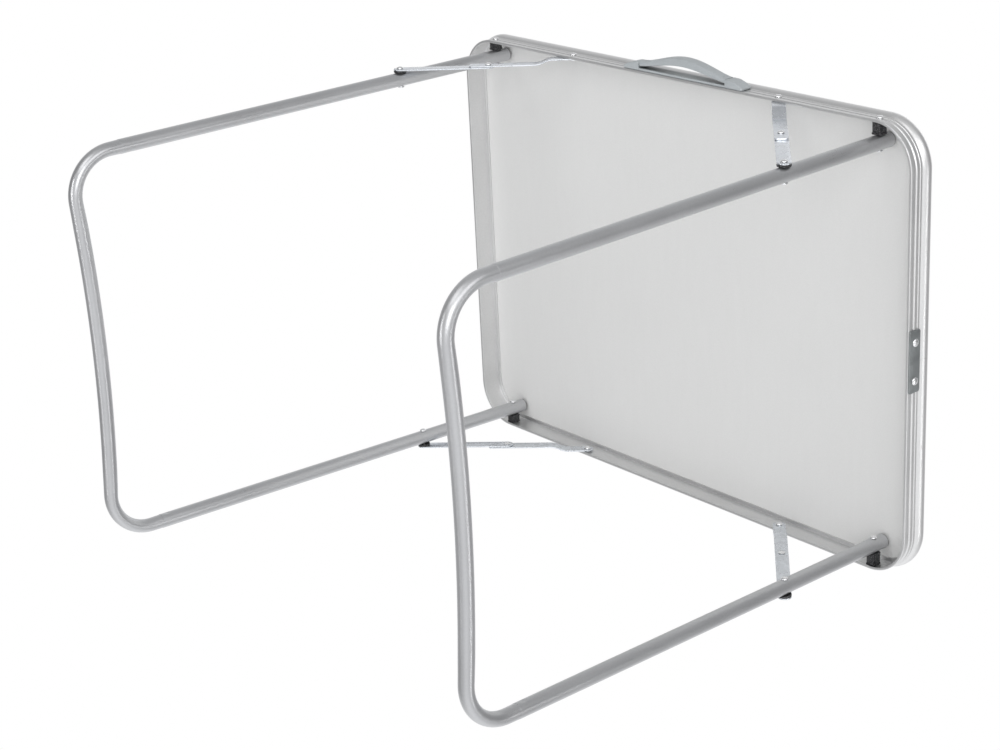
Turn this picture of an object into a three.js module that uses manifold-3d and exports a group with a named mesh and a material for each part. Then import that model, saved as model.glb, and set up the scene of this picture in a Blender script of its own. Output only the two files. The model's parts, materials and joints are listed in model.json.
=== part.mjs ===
// A folding table: a laminated panel in a bent aluminium edge extrusion, two tubular U legs that
// fold under it one over the other, and a folding brace at each of the four leg pivots.
// Millimetres, +Z up. The origin is on the floor, below the centre of the whole table's box.
// Right is +X, front is -Y, the side with the carrying handle. Each corner is named by both.
import * as THREE from 'three';
import { mergeVertices } from 'three/addons/utils/BufferGeometryUtils.js';
import Module from 'manifold-3d';

const wasm = await Module();
wasm.setup();

// ---- Driving dimensions ----
const TOP_LENGTH = 700;
const TOP_WIDTH = 500;
const HEIGHT = 604;
const CORNER_RADIUS = 52;

// Edge extrusion. Depths are below its top, insets are inward from its outermost face.
const EDGE_DEPTH = 31.6;
const WALL_OUTER = 3;
const WALL_INNER = 4.5;
const GROOVE_BOTTOM = 5;
const GROOVE_TOP_DEPTH = 1.3;
const GROOVE_LOW_DEPTH = 5.9;
const TOP_LIP_INSET = 13;
const TOP_LIP_DEPTH = 0.4;
const LEDGE_INSET = 9;
const LEDGE_DEPTH = 7.1;
const BOTTOM_LIP_INSET = 6;
const BOTTOM_LIP_THICKNESS = 1.2;
const BEAD_BOTTOM = 14.4;
const BEAD_HALF = 7.6;
const BEAD_REACH = 6.5;
const BEAD_START = -0.95;
const BEAD_STEPS = 5;
const EDGE_JOINT_GAP = 0.6;
const PANEL_TOP_DEPTH = 0.9;
const GAP = 0.3;

// Legs
const TUBE_RADIUS = 8;
const TUBE_BORE = 7;
const PIVOT_X = 298;
const PIVOT_DEPTH = 23.6;
const SPLAY = 0.025;
const BEND_RADIUS = 47;
const RAIL_BOW = 7.5;
const TUBE_OVERRUN = 15;
const JOINT_ABOVE_BEND = 12;
const SPIGOT_LENGTH = 22;
const SPIGOT_RADIUS = 6.1;
const SPIGOT_BORE = 5.3;
const SPIGOT_SEAT = 3;
const CROSS_HOLE_REACH = 12;
const PLUG_RADIUS = 6;
const PLUG_LENGTH = 5;
const PLUG_CROWN = 2;
const LEGS = {
  right: { side: 1, halfWidth: 222, taper: 0.0155 },
  left: { side: -1, halfWidth: 226.4, taper: 0.0148 },
};
// How far each leg turns to fold: the right one onto the panel, the left one over the right one.
const FOLD = { right: Math.PI / 2 + SPLAY + 0.0157, left: Math.PI / 2 + SPLAY - 0.05 };

// Braces
const APRON_PIVOT_INBOARD = 138;
const APRON_PIVOT_DEPTH = 22.9;
const LEG_PIVOT_DOWN = 142.4;
const LINK_WIDTH = 14.6;
const LINK_TAIL = 22;
const LINK_TAIL_CORNER = 3;
const LINK_THICKNESS = 1.5;
const LINK_INSET = 6;
const LINK_SPACE = 40;
const WASHER_RADIUS = 7.4;
const JOGGLE_START = 27;
const JOGGLE_END = 41;

// Pins and rivets
const PIN_RADIUS = 2;
const PIN_HOLE = 2.5;
const HEAD_RADIUS = 3.8;
const SHOULDER_RADIUS = 3.4;
const TAIL_HEIGHT = 0.7;
const TAIL_TIP_RADIUS = 1.6;
const HEAD_HEIGHT = 1.5;
const HEAD_SHOULDER = 0.7;
const HEAD_CROWN_INSET = 0.5;
const HEAD_TIP_RADIUS = 1.2;
const SPACER_WIDTH = 11;
const SPACER_HEIGHT = 12;

// Splice plate over the joint of the edge extrusion, in the middle of the right side
const SPLICE_LENGTH = 68;
const SPLICE_HEIGHT = 16.6;
const SPLICE_DEPTH = 23.1;
const SPLICE_THICKNESS = 1.2;
const SPLICE_RIVET_PITCH = 42;
const SPLICE_RIVET_RADIUS = 4.4;
const SPLICE_RIVET_HEIGHT = 1.3;
const SPLICE_CORNER = 2.5;

// Handle on the front side
const HANDLE_X = 23;
const HANDLE_LENGTH = 182;
const HANDLE_HEIGHT = 15.4;
const HANDLE_DEPTH = 22.8;
const HANDLE_PLATE = 2.8;
const HANDLE_BLOCK = 9.2;
const HANDLE_BLOCK_LENGTH = 24.6;
const HANDLE_NOSE = 18;
const HANDLE_NOSE_DROP = 6;
const HANDLE_PIN_FROM_END = 7;
const GRIP_LENGTH = 132;
const GRIP_HEIGHT = 14;
const GRIP_THICKNESS = 5;
const GRIP_SWELL = 3.8;
const GRIP_RISE = 17.5;
const GRIP_FOOT = 7.2;
const GRIP_ROUNDNESS = 1.4;
const GRIP_STEPS = 16;

const FACETS = 10;
const BORE_FACETS = 8;
const ARC_SEGMENTS = 4;

// ---- Materials ----
const finish = (color, roughness, metalness) => () => (
  new THREE.MeshStandardMaterial({ color, roughness, metalness })
);
const aluminium = finish(0xc4c6c8, 0.38, 0.9);
const tubeMetal = finish(0xa9abae, 0.42, 0.85);
const zinc = finish(0xc9cdd2, 0.3, 0.95);
const plateMetal = finish(0x848a8a, 0.45, 0.8);
const laminate = finish(0xdcdcdb, 0.6, 0);
const blackPlastic = finish(0x141414, 0.55, 0);
const greyPlastic = finish(0xaab4ba, 0.5, 0);

// ---- Solids ----
function toSolid(geometry) {
  geometry.deleteAttribute('normal');
  geometry.deleteAttribute('uv');
  const merged = mergeVertices(geometry, 1e-4);
  return new wasm.Manifold(new wasm.Mesh({
    numProp: 3,
    vertProperties: Float32Array.from(merged.attributes.position.array),
    triVerts: Uint32Array.from(merged.index.array),
  }));
}

function toGeometry(solid) {
  const mesh = solid.getMesh();
  const geometry = new THREE.BufferGeometry();
  geometry.setAttribute('position', new THREE.BufferAttribute(mesh.vertProperties, 3));
  geometry.setIndex(new THREE.BufferAttribute(mesh.triVerts, 1));
  geometry.computeVertexNormals();
  return geometry;
}

const cut = (geometry, ...tools) => (
  toGeometry(tools.reduce((solid, tool) => solid.subtract(toSolid(tool)), toSolid(geometry)))
);

function add(group, name, geometry, material) {
  const mesh = new THREE.Mesh(geometry, material());
  mesh.name = name;
  group.add(mesh);
}

// A path through chosen stations, each a point and a tangent, so that straight stretches
// take no steps and bends take even ones.
class StationPath extends THREE.Curve {
  constructor(stations) {
    super();
    this.stations = stations;
  }

  station(t) {
    return this.stations[Math.round(t * (this.stations.length - 1))];
  }

  getPoint(t) {
    return this.station(t).point.clone();
  }

  getPointAt(u) {
    return this.getPoint(u);
  }

  getTangentAt(u) {
    return this.station(u).tangent.clone().normalize();
  }
}

const sweep = (shape, stations) => new THREE.ExtrudeGeometry(shape, {
  steps: stations.length - 1,
  extrudePath: new StationPath(stations),
});

function ringShape(radius, bore) {
  const circle = (r, sides) => Array.from({ length: sides }, (_, i) => {
    const angle = Math.PI / 2 + (2 * Math.PI * i) / sides;
    return new THREE.Vector2(r * Math.cos(angle), r * Math.sin(angle));
  });
  const shape = new THREE.Shape(circle(radius, FACETS));
  shape.holes.push(new THREE.Path(circle(bore, BORE_FACETS)));
  return shape;
}

function straightTube(radius, bore, from, to) {
  const tangent = to.clone().sub(from);
  return sweep(ringShape(radius, bore), [{ point: from, tangent }, { point: to, tangent }]);
}

// A bar along Y from the table's middle outward: side is -1 for front and +1 for back.
function barAlongY(radius, from, to, x, z, sides = FACETS) {
  const bar = new THREE.CylinderGeometry(radius, radius, Math.abs(to - from), sides);
  bar.translate(x, (from + to) / 2, z);
  return bar;
}

// A turned pin along Y: points are [distance from the middle plane, radius], inner end first.
function turnedPin(side, points, x, z) {
  const profile = points.map(([y, r]) => new THREE.Vector2(r, y));
  profile.unshift(new THREE.Vector2(0, points[0][0]));
  profile.push(new THREE.Vector2(0, points.at(-1)[0]));
  const pin = new THREE.LatheGeometry(profile, BORE_FACETS);
  if (side < 0) pin.rotateX(Math.PI);
  pin.translate(x, 0, z);
  return pin;
}

// The crowned head of a rivet or pin, from its shank outward or from its tip to its shank.
const headProfile = [
  [0, PIN_RADIUS],
  [0, HEAD_RADIUS],
  [HEAD_SHOULDER, HEAD_RADIUS - HEAD_CROWN_INSET],
  [HEAD_HEIGHT, HEAD_TIP_RADIUS],
];
const outerHead = (y) => headProfile.map(([h, r]) => [y + h, r]);
const innerHead = (y) => headProfile.map(([h, r]) => [y - h, r]).reverse();

// ---- Tabletop ----
function roundedRectangle(inset) {
  const x = TOP_LENGTH / 2 - inset;
  const y = TOP_WIDTH / 2 - inset;
  const r = CORNER_RADIUS - inset;
  const shape = new THREE.Shape();
  shape.moveTo(x, r - y);
  shape.absarc(x - r, y - r, r, 0, Math.PI / 2);
  shape.absarc(r - x, y - r, r, Math.PI / 2, Math.PI);
  shape.absarc(r - x, r - y, r, Math.PI, 1.5 * Math.PI);
  shape.absarc(x - r, r - y, r, 1.5 * Math.PI, 2 * Math.PI);
  return shape;
}

const plate = (shape, low, high) => {
  const geometry = new THREE.ExtrudeGeometry(shape, {
    depth: high - low, bevelEnabled: false, curveSegments: ARC_SEGMENTS,
  });
  geometry.translate(0, 0, low);
  return geometry;
};

// Once round the top from the joint in the middle of the right side, counterclockwise.
function edgeStations() {
  const x = TOP_LENGTH / 2;
  const y = TOP_WIDTH / 2;
  const r = CORNER_RADIUS;
  const steps = 2 * ARC_SEGMENTS;
  const stations = [{ point: new THREE.Vector3(x, EDGE_JOINT_GAP / 2, HEIGHT), angle: 0 }];
  const corners = [[x - r, y - r], [r - x, y - r], [r - x, r - y], [x - r, r - y]];
  corners.forEach(([cx, cy], corner) => {
    for (let i = 0; i <= steps; i += 1) {
      const angle = (Math.PI / 2) * (corner + i / steps);
      const point = new THREE.Vector3(cx + r * Math.cos(angle), cy + r * Math.sin(angle), HEIGHT);
      stations.push({ point, angle });
    }
  });
  const end = new THREE.Vector3(x, -EDGE_JOINT_GAP / 2, HEIGHT);
  stations.push({ point: end, angle: 2 * Math.PI });
  return stations.map(({ point, angle }) => (
    { point, tangent: new THREE.Vector3(-Math.sin(angle), Math.cos(angle), 0) }
  ));
}

function edgeProfile() {
  const points = [[EDGE_DEPTH, WALL_OUTER], [BEAD_BOTTOM, WALL_OUTER]];
  for (let i = 0; i <= BEAD_STEPS; i += 1) {
    const angle = BEAD_START + ((Math.PI / 2 - BEAD_START) * i) / BEAD_STEPS;
    points.push([BEAD_HALF * (1 - Math.sin(angle)), BEAD_REACH * (1 - Math.cos(angle))]);
  }
  points.push(
    [TOP_LIP_DEPTH, TOP_LIP_INSET],
    [GROOVE_TOP_DEPTH, TOP_LIP_INSET],
    [GROOVE_TOP_DEPTH, GROOVE_BOTTOM],
    [GROOVE_LOW_DEPTH, GROOVE_BOTTOM],
    [GROOVE_LOW_DEPTH, LEDGE_INSET],
    [LEDGE_DEPTH, LEDGE_INSET],
    [LEDGE_DEPTH, WALL_INNER],
    [EDGE_DEPTH - BOTTOM_LIP_THICKNESS, WALL_INNER],
    [EDGE_DEPTH - BOTTOM_LIP_THICKNESS, BOTTOM_LIP_INSET],
    [EDGE_DEPTH, BOTTOM_LIP_INSET],
  );
  return new THREE.Shape(points.map(([depth, inset]) => new THREE.Vector2(depth, inset)));
}

const halfTop = TOP_WIDTH / 2;
const pivotZ = HEIGHT - PIVOT_DEPTH;
const apronPivotZ = HEIGHT - APRON_PIVOT_DEPTH;

function addTabletop(group) {
  const holes = [];
  for (const side of [-1, 1]) {
    const from = side * (halfTop - 10);
    const to = side * (halfTop + 10);
    for (const end of [-1, 1]) {
      holes.push(barAlongY(PIN_HOLE, from, to, end * PIVOT_X, pivotZ, BORE_FACETS));
      const apronX = end * (PIVOT_X - APRON_PIVOT_INBOARD);
      holes.push(barAlongY(PIN_HOLE, from, to, apronX, apronPivotZ, BORE_FACETS));
    }
  }
  add(group, 'edge_frame', cut(sweep(edgeProfile(), edgeStations()), ...holes), aluminium);
  // The board has a rebate all round: its edge sits in the groove and its face between the lips.
  const low = HEIGHT - GROOVE_LOW_DEPTH + GAP;
  const board = plate(
    roundedRectangle(GROOVE_BOTTOM + GAP),
    low,
    HEIGHT - GROOVE_TOP_DEPTH - GAP,
  );
  const face = plate(roundedRectangle(TOP_LIP_INSET + GAP), low, HEIGHT - PANEL_TOP_DEPTH);
  const panel = toGeometry(toSolid(board).add(toSolid(face)));
  add(group, 'tabletop_panel', panel, laminate);
}

function addSplice(group) {
  const wall = TOP_LENGTH / 2 - WALL_OUTER;
  const z = HEIGHT - SPLICE_DEPTH;
  const shape = new THREE.Shape();
  const [a, b, r] = [SPLICE_LENGTH / 2, SPLICE_HEIGHT / 2, SPLICE_CORNER];
  shape.moveTo(a, r - b);
  shape.absarc(a - r, b - r, r, 0, Math.PI / 2);
  shape.absarc(r - a, b - r, r, Math.PI / 2, Math.PI);
  shape.absarc(r - a, r - b, r, Math.PI, 1.5 * Math.PI);
  shape.absarc(a - r, r - b, r, 1.5 * Math.PI, 2 * Math.PI);
  const body = new THREE.ExtrudeGeometry(shape, {
    depth: SPLICE_THICKNESS, bevelEnabled: false, curveSegments: 3,
  });
  body.rotateX(Math.PI / 2).rotateZ(Math.PI / 2);
  body.translate(wall + GAP, 0, z);
  add(group, 'splice_plate', body, plateMetal);
  for (const [name, y] of [['front', -1], ['back', 1]]) {
    const face = wall + GAP + SPLICE_THICKNESS + GAP;
    const [wide, tall] = [SPLICE_RIVET_RADIUS / HEAD_RADIUS, SPLICE_RIVET_HEIGHT / HEAD_HEIGHT];
    const profile = [[0, 0], ...headProfile.slice(1), [HEAD_HEIGHT, 0]];
    const head = new THREE.LatheGeometry(
      profile.map(([h, radius]) => new THREE.Vector2(radius * wide, h * tall)),
      FACETS,
    );
    head.rotateZ(-Math.PI / 2);
    head.translate(face, (y * SPLICE_RIVET_PITCH) / 2, z);
    add(group, `splice_rivet_${name}`, head, zinc);
  }
}

// ---- Handle ----
// Drawn in the plane X-Y, outward in -Y from the apron, and as deep as height in Z.
function handleSlab(points, height) {
  const shape = new THREE.Shape(points.map(([x, out]) => new THREE.Vector2(x, -out)));
  const slab = plate(shape, HEIGHT - HANDLE_DEPTH - height / 2, HEIGHT - HANDLE_DEPTH + height / 2);
  slab.translate(HANDLE_X, WALL_OUTER - halfTop, 0);
  return slab;
}

// The grip arches away from its feet and is thickest in the middle.
const gripArch = (x) => {
  const t = Math.min(1, Math.abs(x) / (GRIP_LENGTH / 2));
  return Math.cos((t * Math.PI) / 2) ** GRIP_ROUNDNESS;
};
const gripOut = (x) => GRIP_FOOT + (GRIP_RISE - GRIP_FOOT) * gripArch(x);
const gripHalf = (x) => (GRIP_THICKNESS + GRIP_SWELL * gripArch(x)) / 2;

function addHandle(group) {
  const half = HANDLE_LENGTH / 2;
  const inner = half - HANDLE_BLOCK_LENGTH;
  const rightHalf = [
    [half, GAP],
    [half, HANDLE_BLOCK - HANDLE_NOSE_DROP],
    [half - HANDLE_NOSE, HANDLE_BLOCK],
    [inner, HANDLE_BLOCK],
    [inner, HANDLE_PLATE],
  ];
  const leftHalf = rightHalf.map(([x, out]) => [-x, out]).reverse();
  add(group, 'handle_base', handleSlab([...rightHalf, ...leftHalf], HANDLE_HEIGHT), greyPlastic);

  const rows = Array.from(
    { length: GRIP_STEPS + 1 },
    (_, i) => (i / GRIP_STEPS - 0.5) * GRIP_LENGTH,
  );
  const outer = rows.map((x) => [x, gripOut(x) + gripHalf(x)]);
  const under = rows.map((x) => [x, gripOut(x) - gripHalf(x)]).reverse();
  add(group, 'handle_grip', handleSlab([...outer, ...under], GRIP_HEIGHT), greyPlastic);

  for (const [name, end] of [['left', -1], ['right', 1]]) {
    const offset = GRIP_LENGTH / 2 - HANDLE_PIN_FROM_END;
    const grip = gripOut(offset - HEAD_RADIUS) + gripHalf(offset - HEAD_RADIUS);
    const face = halfTop - WALL_OUTER + grip + GAP;
    const head = outerHead(face).slice(1);
    const pin = turnedPin(-1, head, HANDLE_X + end * offset, HEIGHT - HANDLE_DEPTH);
    add(group, `handle_pin_${name}`, pin, zinc);
  }
}

// ---- Legs ----
// A leg is drawn with its pivot axis through the origin and the leg along -Z.
const legLength = pivotZ / Math.cos(SPLAY) - TUBE_RADIUS;
const tubeY = (leg, down) => leg.halfWidth - down * leg.taper;

function footGeometry(leg) {
  const lean = Math.atan(leg.taper);
  const centreDown = legLength - BEND_RADIUS;
  const tangentDown = centreDown + BEND_RADIUS * Math.sin(lean);
  const centreOut = tubeY(leg, tangentDown) - BEND_RADIUS * Math.cos(lean);
  const bow = 2 * Math.atan(RAIL_BOW / centreOut);
  const railRadius = centreOut / Math.sin(bow) - BEND_RADIUS;
  const railCentre = centreDown + (BEND_RADIUS + railRadius) * Math.cos(bow);
  const jointDown = tangentDown - JOINT_ABOVE_BEND;
  const at = (out, down) => new THREE.Vector3(0, out, -down);

  const half = [{ point: at(tubeY(leg, jointDown), jointDown), tangent: at(-leg.taper, 1) }];
  const addBend = (from, to, steps) => {
    for (let i = 0; i <= steps; i += 1) {
      const angle = from + ((to - from) * i) / steps;
      const out = centreOut + BEND_RADIUS * Math.cos(angle);
      const down = centreDown + BEND_RADIUS * Math.sin(angle);
      half.push({ point: at(out, down), tangent: at(-Math.sin(angle), Math.cos(angle)) });
    }
  };
  addBend(lean, Math.PI / 2, 6);
  half.push({
    point: at(centreOut - BEND_RADIUS * Math.sin(bow), centreDown + BEND_RADIUS * Math.cos(bow)),
    tangent: at(-Math.cos(bow), -Math.sin(bow)),
  });
  const railSteps = 4;
  for (let i = 1; i < railSteps; i += 1) {
    const angle = bow * (1 - i / railSteps);
    const down = railCentre - railRadius * Math.cos(angle);
    half.push({
      point: at(railRadius * Math.sin(angle), down),
      tangent: at(-Math.cos(angle), -Math.sin(angle)),
    });
  }
  const middle = { point: at(0, railCentre - railRadius), tangent: at(-1, 0) };
  const mirrored = half.map(({ point, tangent }) => ({
    point: new THREE.Vector3(0, -point.y, point.z),
    tangent: new THREE.Vector3(0, tangent.y, -tangent.z),
  })).reverse();
  const bent = toSolid(sweep(ringShape(TUBE_RADIUS, TUBE_BORE), [...half, middle, ...mirrored]));

  const onSide = (side, down) => new THREE.Vector3(0, side * tubeY(leg, down), -down);
  const between = (TUBE_RADIUS + TUBE_BORE) / 2;
  const pieces = [-1, 1].flatMap((side) => {
    const seat = onSide(side, jointDown + SPIGOT_SEAT);
    return [
      straightTube(SPIGOT_RADIUS, SPIGOT_BORE, onSide(side, jointDown - SPIGOT_LENGTH), seat),
      straightTube(between, SPIGOT_BORE, onSide(side, jointDown + 2 * GAP), seat),
    ];
  });
  const solid = pieces.reduce((sum, piece) => sum.add(toSolid(piece)), bent);
  return { geometry: toGeometry(solid), jointDown };
}

const cornerName = (legName, side) => `${legName}_${side < 0 ? 'front' : 'back'}`;

function addLeg(group, name, leg) {
  const { geometry, jointDown } = footGeometry(leg);
  add(group, `${name}_foot_tube`, geometry, tubeMetal);
  for (const side of [-1, 1]) {
    const corner = cornerName(name, side);
    const at = (down) => new THREE.Vector3(0, side * tubeY(leg, down), -down);
    const crossHole = (down) => {
      const from = side * (tubeY(leg, down) - CROSS_HOLE_REACH);
      const to = side * (tubeY(leg, down) + CROSS_HOLE_REACH);
      return barAlongY(PIN_HOLE, from, to, 0, -down, BORE_FACETS);
    };
    const tube = straightTube(TUBE_RADIUS, TUBE_BORE, at(-TUBE_OVERRUN), at(jointDown - GAP));
    add(group, `${corner}_side_tube`, cut(tube, crossHole(0), crossHole(LEG_PIVOT_DOWN)), tubeMetal);

    const profile = [
      [0, -PLUG_LENGTH],
      [PLUG_RADIUS, -PLUG_LENGTH],
      [PLUG_RADIUS, GAP],
      [TUBE_RADIUS - GAP, GAP],
      [PLUG_RADIUS, 0.7 * PLUG_CROWN],
      [0, PLUG_CROWN],
    ];
    const plug = new THREE.LatheGeometry(profile.map(([r, h]) => new THREE.Vector2(r, h)), FACETS);
    plug.rotateX(Math.PI / 2 - side * Math.atan(leg.taper));
    plug.translate(0, side * tubeY(leg, -TUBE_OVERRUN), TUBE_OVERRUN);
    add(group, `${corner}_end_plug`, plug, greyPlastic);

    const { lowerOuter, lowerInner } = linkPlanes(leg);
    const tubeOut = tubeY(leg, LEG_PIVOT_DOWN);
    const rivet = turnedPin(side, [
      ...innerHead(tubeOut - TUBE_RADIUS - GAP),
      [halfTop - lowerOuter + GAP, PIN_RADIUS],
      ...outerHead(halfTop - lowerOuter + GAP).slice(1),
    ], 0, -LEG_PIVOT_DOWN);
    add(group, `${corner}_leg_rivet`, rivet, zinc);

    const [low, high] = [tubeOut + TUBE_RADIUS + GAP, halfTop - lowerInner - GAP];
    const ring = [[PIN_HOLE, low], [WASHER_RADIUS, low], [WASHER_RADIUS, high], [PIN_HOLE, high],
      [PIN_HOLE, low]].map(([r, y]) => new THREE.Vector2(r, y));
    const washer = new THREE.LatheGeometry(ring, FACETS);
    if (side < 0) washer.rotateX(Math.PI);
    washer.translate(0, 0, -LEG_PIVOT_DOWN);
    add(group, `${corner}_leg_washer`, washer, blackPlastic);
  }
}

// ---- Pivots on the tabletop ----
function addLegPivot(group, name, leg, side) {
  const corner = cornerName(name, side);
  const x = leg.side * PIVOT_X;
  const [low, high] = [leg.halfWidth + TUBE_RADIUS + GAP, halfTop - WALL_INNER - 2 * GAP];
  const shape = new THREE.Shape();
  shape.moveTo(SPACER_WIDTH / 2, -SPACER_HEIGHT / 2);
  shape.lineTo(SPACER_WIDTH / 2, SPACER_HEIGHT / 2);
  shape.lineTo(-SPACER_WIDTH / 2, SPACER_HEIGHT / 2);
  shape.lineTo(-SPACER_WIDTH / 2, -SPACER_HEIGHT / 2);
  const bore = new THREE.Path();
  bore.absarc(0, 0, PIN_HOLE, 0, 2 * Math.PI);
  shape.holes.push(bore);
  const block = new THREE.ExtrudeGeometry(shape, {
    depth: high - low, bevelEnabled: false, curveSegments: BORE_FACETS / 2,
  });
  block.rotateX(Math.PI / 2).translate(x, side > 0 ? high : -low, pivotZ);
  add(group, `${corner}_spacer`, block, blackPlastic);

  const outside = halfTop - WALL_OUTER + GAP;
  const pin = turnedPin(side, [
    ...innerHead(leg.halfWidth - TUBE_RADIUS - GAP),
    [outside, PIN_RADIUS],
    ...outerHead(outside).slice(1),
  ], x, pivotZ);
  add(group, `${corner}_pivot_pin`, pin, zinc);
}

// ---- Braces ----
// The two links of a brace lie side by side in the space between the leg tube and the apron.
// With the leg folded, the tail of their middle rivet passes beside the tube close to its pivot.
function linkPlanes(leg) {
  const middleDown = APRON_PIVOT_INBOARD - linkLengths(leg.side > 0 ? 'right' : 'left').upper;
  const tube = halfTop - tubeY(leg, middleDown - HEAD_RADIUS) - TUBE_RADIUS;
  const lowerInner = tube - TAIL_HEIGHT - 2 * GAP;
  const lowerOuter = lowerInner - LINK_THICKNESS;
  const upperInner = lowerOuter - GAP;
  return { lowerInner, lowerOuter, upperInner, upperOuter: upperInner - LINK_THICKNESS };
}

// Lengths that make the links straight with the leg out, and that bring them back to the same
// middle pivot, level with the apron pivot, with the leg folded. All from the leg's own pivot.
function linkLengths(name) {
  const folded = FOLD[name] - SPLAY;
  const apron = { inboard: APRON_PIVOT_INBOARD, down: APRON_PIVOT_DEPTH - PIVOT_DEPTH };
  const out = {
    inboard: -LEG_PIVOT_DOWN * Math.sin(SPLAY),
    down: LEG_PIVOT_DOWN * Math.cos(SPLAY),
  };
  const reach = Math.hypot(out.inboard - apron.inboard, out.down - apron.down);
  const past = LEG_PIVOT_DOWN * Math.sin(folded) - apron.inboard;
  const drop = LEG_PIVOT_DOWN * Math.cos(folded) - apron.down;
  const upper = (reach ** 2 - past ** 2 - drop ** 2) / (2 * (past + reach));
  return {
    upper,
    lower: reach - upper,
    slope: Math.atan2(out.down - apron.down, apron.inboard - out.inboard),
  };
}

// A bent strip from its first pivot, at the origin, along +X past its second one. The first end
// is round, and the far end has corners of its own radius.
function linkGeometry(side, length, faces, past, corner) {
  const outline = new THREE.Shape();
  const r = LINK_WIDTH / 2;
  const cornerX = length + past - corner;
  outline.absarc(0, 0, r, Math.PI / 2, 1.5 * Math.PI);
  outline.absarc(cornerX, corner - r, corner, -Math.PI / 2, 0);
  outline.absarc(cornerX, r - corner, corner, 0, Math.PI / 2);
  const cutter = new THREE.ExtrudeGeometry(outline, {
    depth: 2 * halfTop, bevelEnabled: false, curveSegments: ARC_SEGMENTS,
  });
  cutter.rotateX(Math.PI / 2).translate(0, side > 0 ? 2 * halfTop : 0, 0);

  const out = ([x, inset]) => new THREE.Vector2(x, side * (halfTop - inset));
  const back = faces.map(([x, inset]) => [x, inset + LINK_THICKNESS]).reverse();
  const strip = new THREE.ExtrudeGeometry(new THREE.Shape([...faces, ...back].map(out)), {
    depth: 2 * LINK_WIDTH, bevelEnabled: false,
  });
  strip.translate(0, 0, -LINK_WIDTH);
  const holes = [0, length].map((x) => toSolid(
    barAlongY(PIN_HOLE, side * (halfTop - LINK_SPACE), side * halfTop, x, 0, BORE_FACETS),
  ));
  const body = toSolid(strip).intersect(toSolid(cutter));
  return toGeometry(holes.reduce((solid, hole) => solid.subtract(hole), body));
}

function addBrace(group, name, leg, side) {
  const corner = cornerName(name, side);
  const planes = linkPlanes(leg);
  const { upper, lower, slope } = linkLengths(name);
  const apronX = PIVOT_X - APRON_PIVOT_INBOARD;

  const wall = (inset) => halfTop - inset;
  const linkInner = LINK_INSET + LINK_THICKNESS + GAP;
  const shoulder = [LINK_INSET - GAP, WALL_INNER + GAP];
  const apronRivet = turnedPin(side, [
    ...innerHead(wall(linkInner)),
    [wall(shoulder[0]), PIN_RADIUS],
    [wall(shoulder[0]), SHOULDER_RADIUS],
    [wall(shoulder[1]), SHOULDER_RADIUS],
    [wall(shoulder[1]), PIN_RADIUS],
    [wall(WALL_OUTER - GAP), PIN_RADIUS],
    ...outerHead(wall(WALL_OUTER - GAP)).slice(1),
  ], leg.side * apronX, apronPivotZ);
  add(group, `${corner}_apron_rivet`, apronRivet, zinc);

  const link = new THREE.Group();
  link.position.set(leg.side * apronX, 0, apronPivotZ);
  link.rotation.y = leg.side > 0 ? slope : Math.PI - slope;
  // The upper link has a tail past the middle pivot, which overlaps the lower link.
  const spare = LINK_WIDTH;
  const upperFaces = [
    [-spare, LINK_INSET],
    [JOGGLE_START, LINK_INSET],
    [JOGGLE_END, planes.upperOuter],
    [upper + LINK_TAIL + spare, planes.upperOuter],
  ];
  const upperLink = linkGeometry(side, upper, upperFaces, LINK_TAIL, LINK_TAIL_CORNER);
  add(link, `${corner}_upper_link`, upperLink, zinc);
  const middleHead = turnedPin(side, [
    [wall(planes.upperInner), PIN_RADIUS],
    [wall(planes.upperOuter - GAP), PIN_RADIUS],
    ...outerHead(wall(planes.upperOuter - GAP)).slice(1),
  ], upper, 0);
  add(link, `${corner}_middle_rivet`, middleHead, zinc);
  group.add(link);

  const low = new THREE.Group();
  const reach = upper + lower;
  low.position.set(
    leg.side * (apronX + reach * Math.cos(slope)),
    0,
    apronPivotZ - reach * Math.sin(slope),
  );
  low.rotation.y = leg.side > 0 ? slope + Math.PI : -slope;
  const lowerFaces = [[-spare, planes.lowerOuter], [lower + spare, planes.lowerOuter]];
  const round = LINK_WIDTH / 2;
  add(low, `${corner}_lower_link`, linkGeometry(side, lower, lowerFaces, round, round), zinc);
  const tailFace = wall(planes.lowerInner + GAP);
  const tail = turnedPin(side, [
    [tailFace - TAIL_HEIGHT, TAIL_TIP_RADIUS],
    [tailFace - TAIL_HEIGHT / 2, HEAD_RADIUS - HEAD_CROWN_INSET],
    [tailFace, HEAD_RADIUS],
    [tailFace, PIN_RADIUS],
    [wall(planes.lowerOuter), PIN_RADIUS],
  ], lower, 0);
  add(low, `${corner}_middle_tail`, tail, zinc);
  group.add(low);
}

// ---- Assembly ----
const table = new THREE.Group();
addTabletop(table);
addSplice(table);
addHandle(table);
for (const [name, leg] of Object.entries(LEGS)) {
  const frame = new THREE.Group();
  frame.position.set(leg.side * PIVOT_X, 0, pivotZ);
  frame.rotation.y = -leg.side * SPLAY;
  addLeg(frame, name, leg);
  table.add(frame);
  for (const side of [-1, 1]) {
    addLegPivot(table, name, leg, side);
    addBrace(table, name, leg, side);
  }
}

// The handle stands out at the front, so the middle of the whole box lies in front of the
// tabletop's own middle.
const handleReach = GRIP_RISE + gripHalf(0) - WALL_OUTER;
table.position.y = handleReach / 2;

const foldingTable = new THREE.Group();
foldingTable.add(table);
export default foldingTable;
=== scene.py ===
import json
import math
from collections import namedtuple

import bmesh
import bpy
from mathutils import Matrix, Vector

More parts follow.
